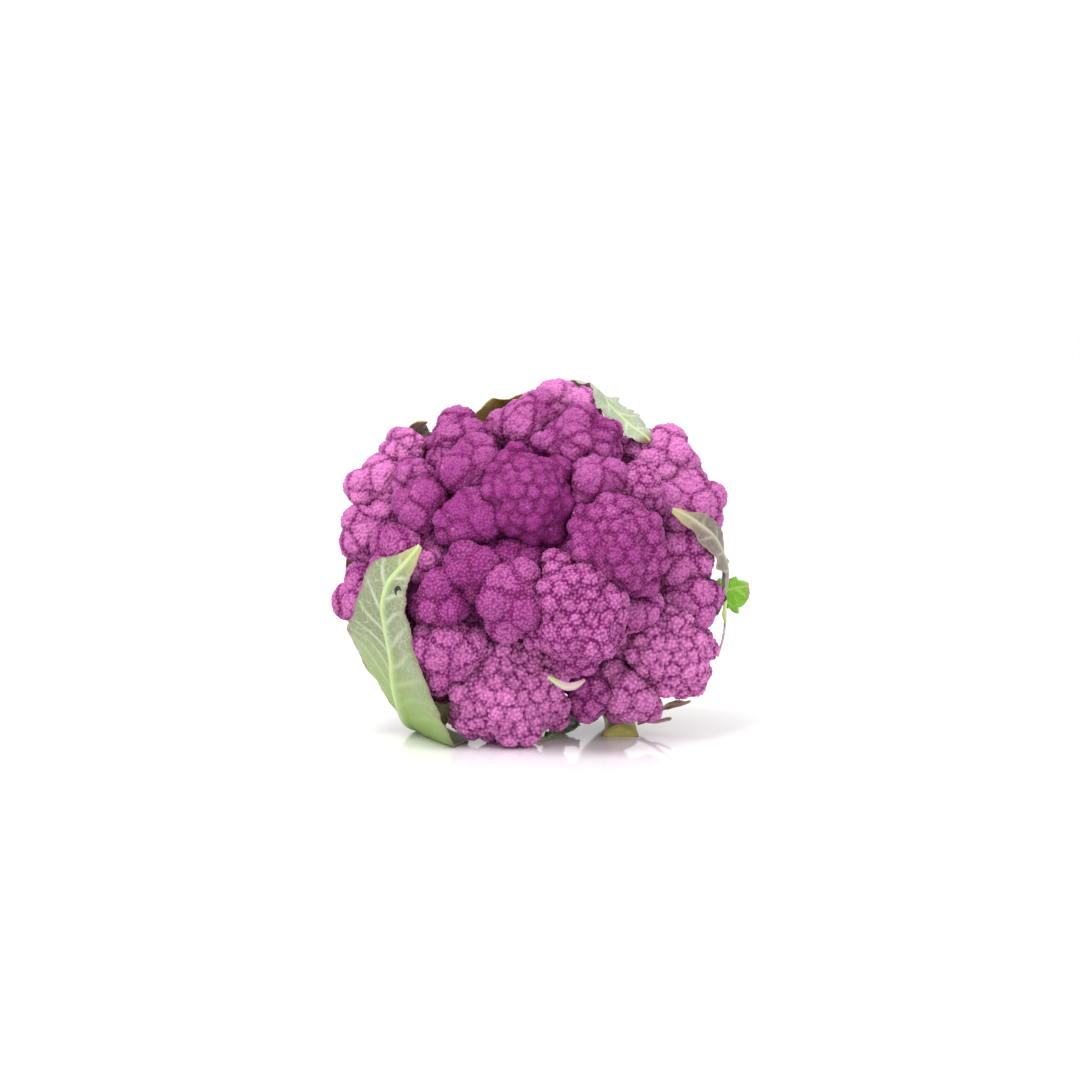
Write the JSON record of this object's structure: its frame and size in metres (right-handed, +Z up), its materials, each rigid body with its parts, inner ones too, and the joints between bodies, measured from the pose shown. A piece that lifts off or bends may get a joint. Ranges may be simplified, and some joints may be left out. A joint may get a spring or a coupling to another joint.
{
  "type": "cauliflower",
  "caption": "Purple cauliflower head lying on its side: knobbly florets packed round a stalk, with the few pale green and lilac leaves left on it.",
  "frame": {"origin": "middle of the small flat the head rests on, under its lowest front floret", "axes": "+X across the head to its right as seen from the front, -Y to the front where the curd faces, +Z up; the stalk runs back along +Y and 25 degrees down"},
  "size_m": [0.1801, 0.1392, 0.1514],
  "materials": {
    "curd": "matt and finely beaded",
    "stalk": "matt",
    "leaf": "satin, waxy",
    "bract": "satin",
    "torn_leaf": "matt",
    "stem_stub": "satin"
  },
  "bodies": {
    "root": {"bract_front": "bract", "bract_right": "bract", "floret_apex": "curd", "floret_back_left": "curd", "floret_back_left_upper": "curd", "floret_back_right": "curd", "floret_back_right_upper": "curd", "floret_back_top": "curd", "floret_behind_leaf": "curd", "floret_bottom_back_left": "curd", "floret_bottom_back_right": "curd", "floret_bottom_left": "curd", "floret_bottom_middle": "curd", "floret_bottom_right": "curd", "floret_bottom_right_low": "curd", "floret_centre": "curd", "floret_centre_left": "curd", "floret_left_front": "curd", "floret_left_inner": "curd", "floret_left_lower": "curd", "floret_left_middle": "curd", "floret_left_rim": "curd", "floret_left_shoulder": "curd", "floret_left_side": "curd", "floret_left_upper": "curd", "floret_low_left": "curd", "floret_middle_deep": "curd", "floret_middle_left": "curd", "floret_middle_right": "curd", "floret_middle_small": "curd", "floret_right_centre": "curd", "floret_right_front": "curd", "floret_right_inner": "curd", "floret_right_lower": "curd", "floret_right_middle": "curd", "floret_right_upper": "curd", "floret_top": "curd", "floret_under_left": "curd", "floret_upper_inner": "curd", "floret_upper_left": "curd", "floret_upper_middle": "curd", "floret_upper_right": "curd", "leaf_back_left": "leaf", "leaf_back_right": "leaf", "leaf_left": "leaf", "leaf_right": "leaf", "leaf_side_left": "leaf", "leaf_top_back": "leaf", "leaf_top_right": "leaf", "leaf_torn_bright": "torn_leaf", "leaf_torn_brown": "torn_leaf", "leaf_torn_lilac": "torn_leaf", "leaf_under": "leaf", "stalk": "stalk", "stem_stub_back": "stem_stub", "stem_stub_front": "stem_stub", "stem_stub_right": "stem_stub"}
  },
  "joints": []
}
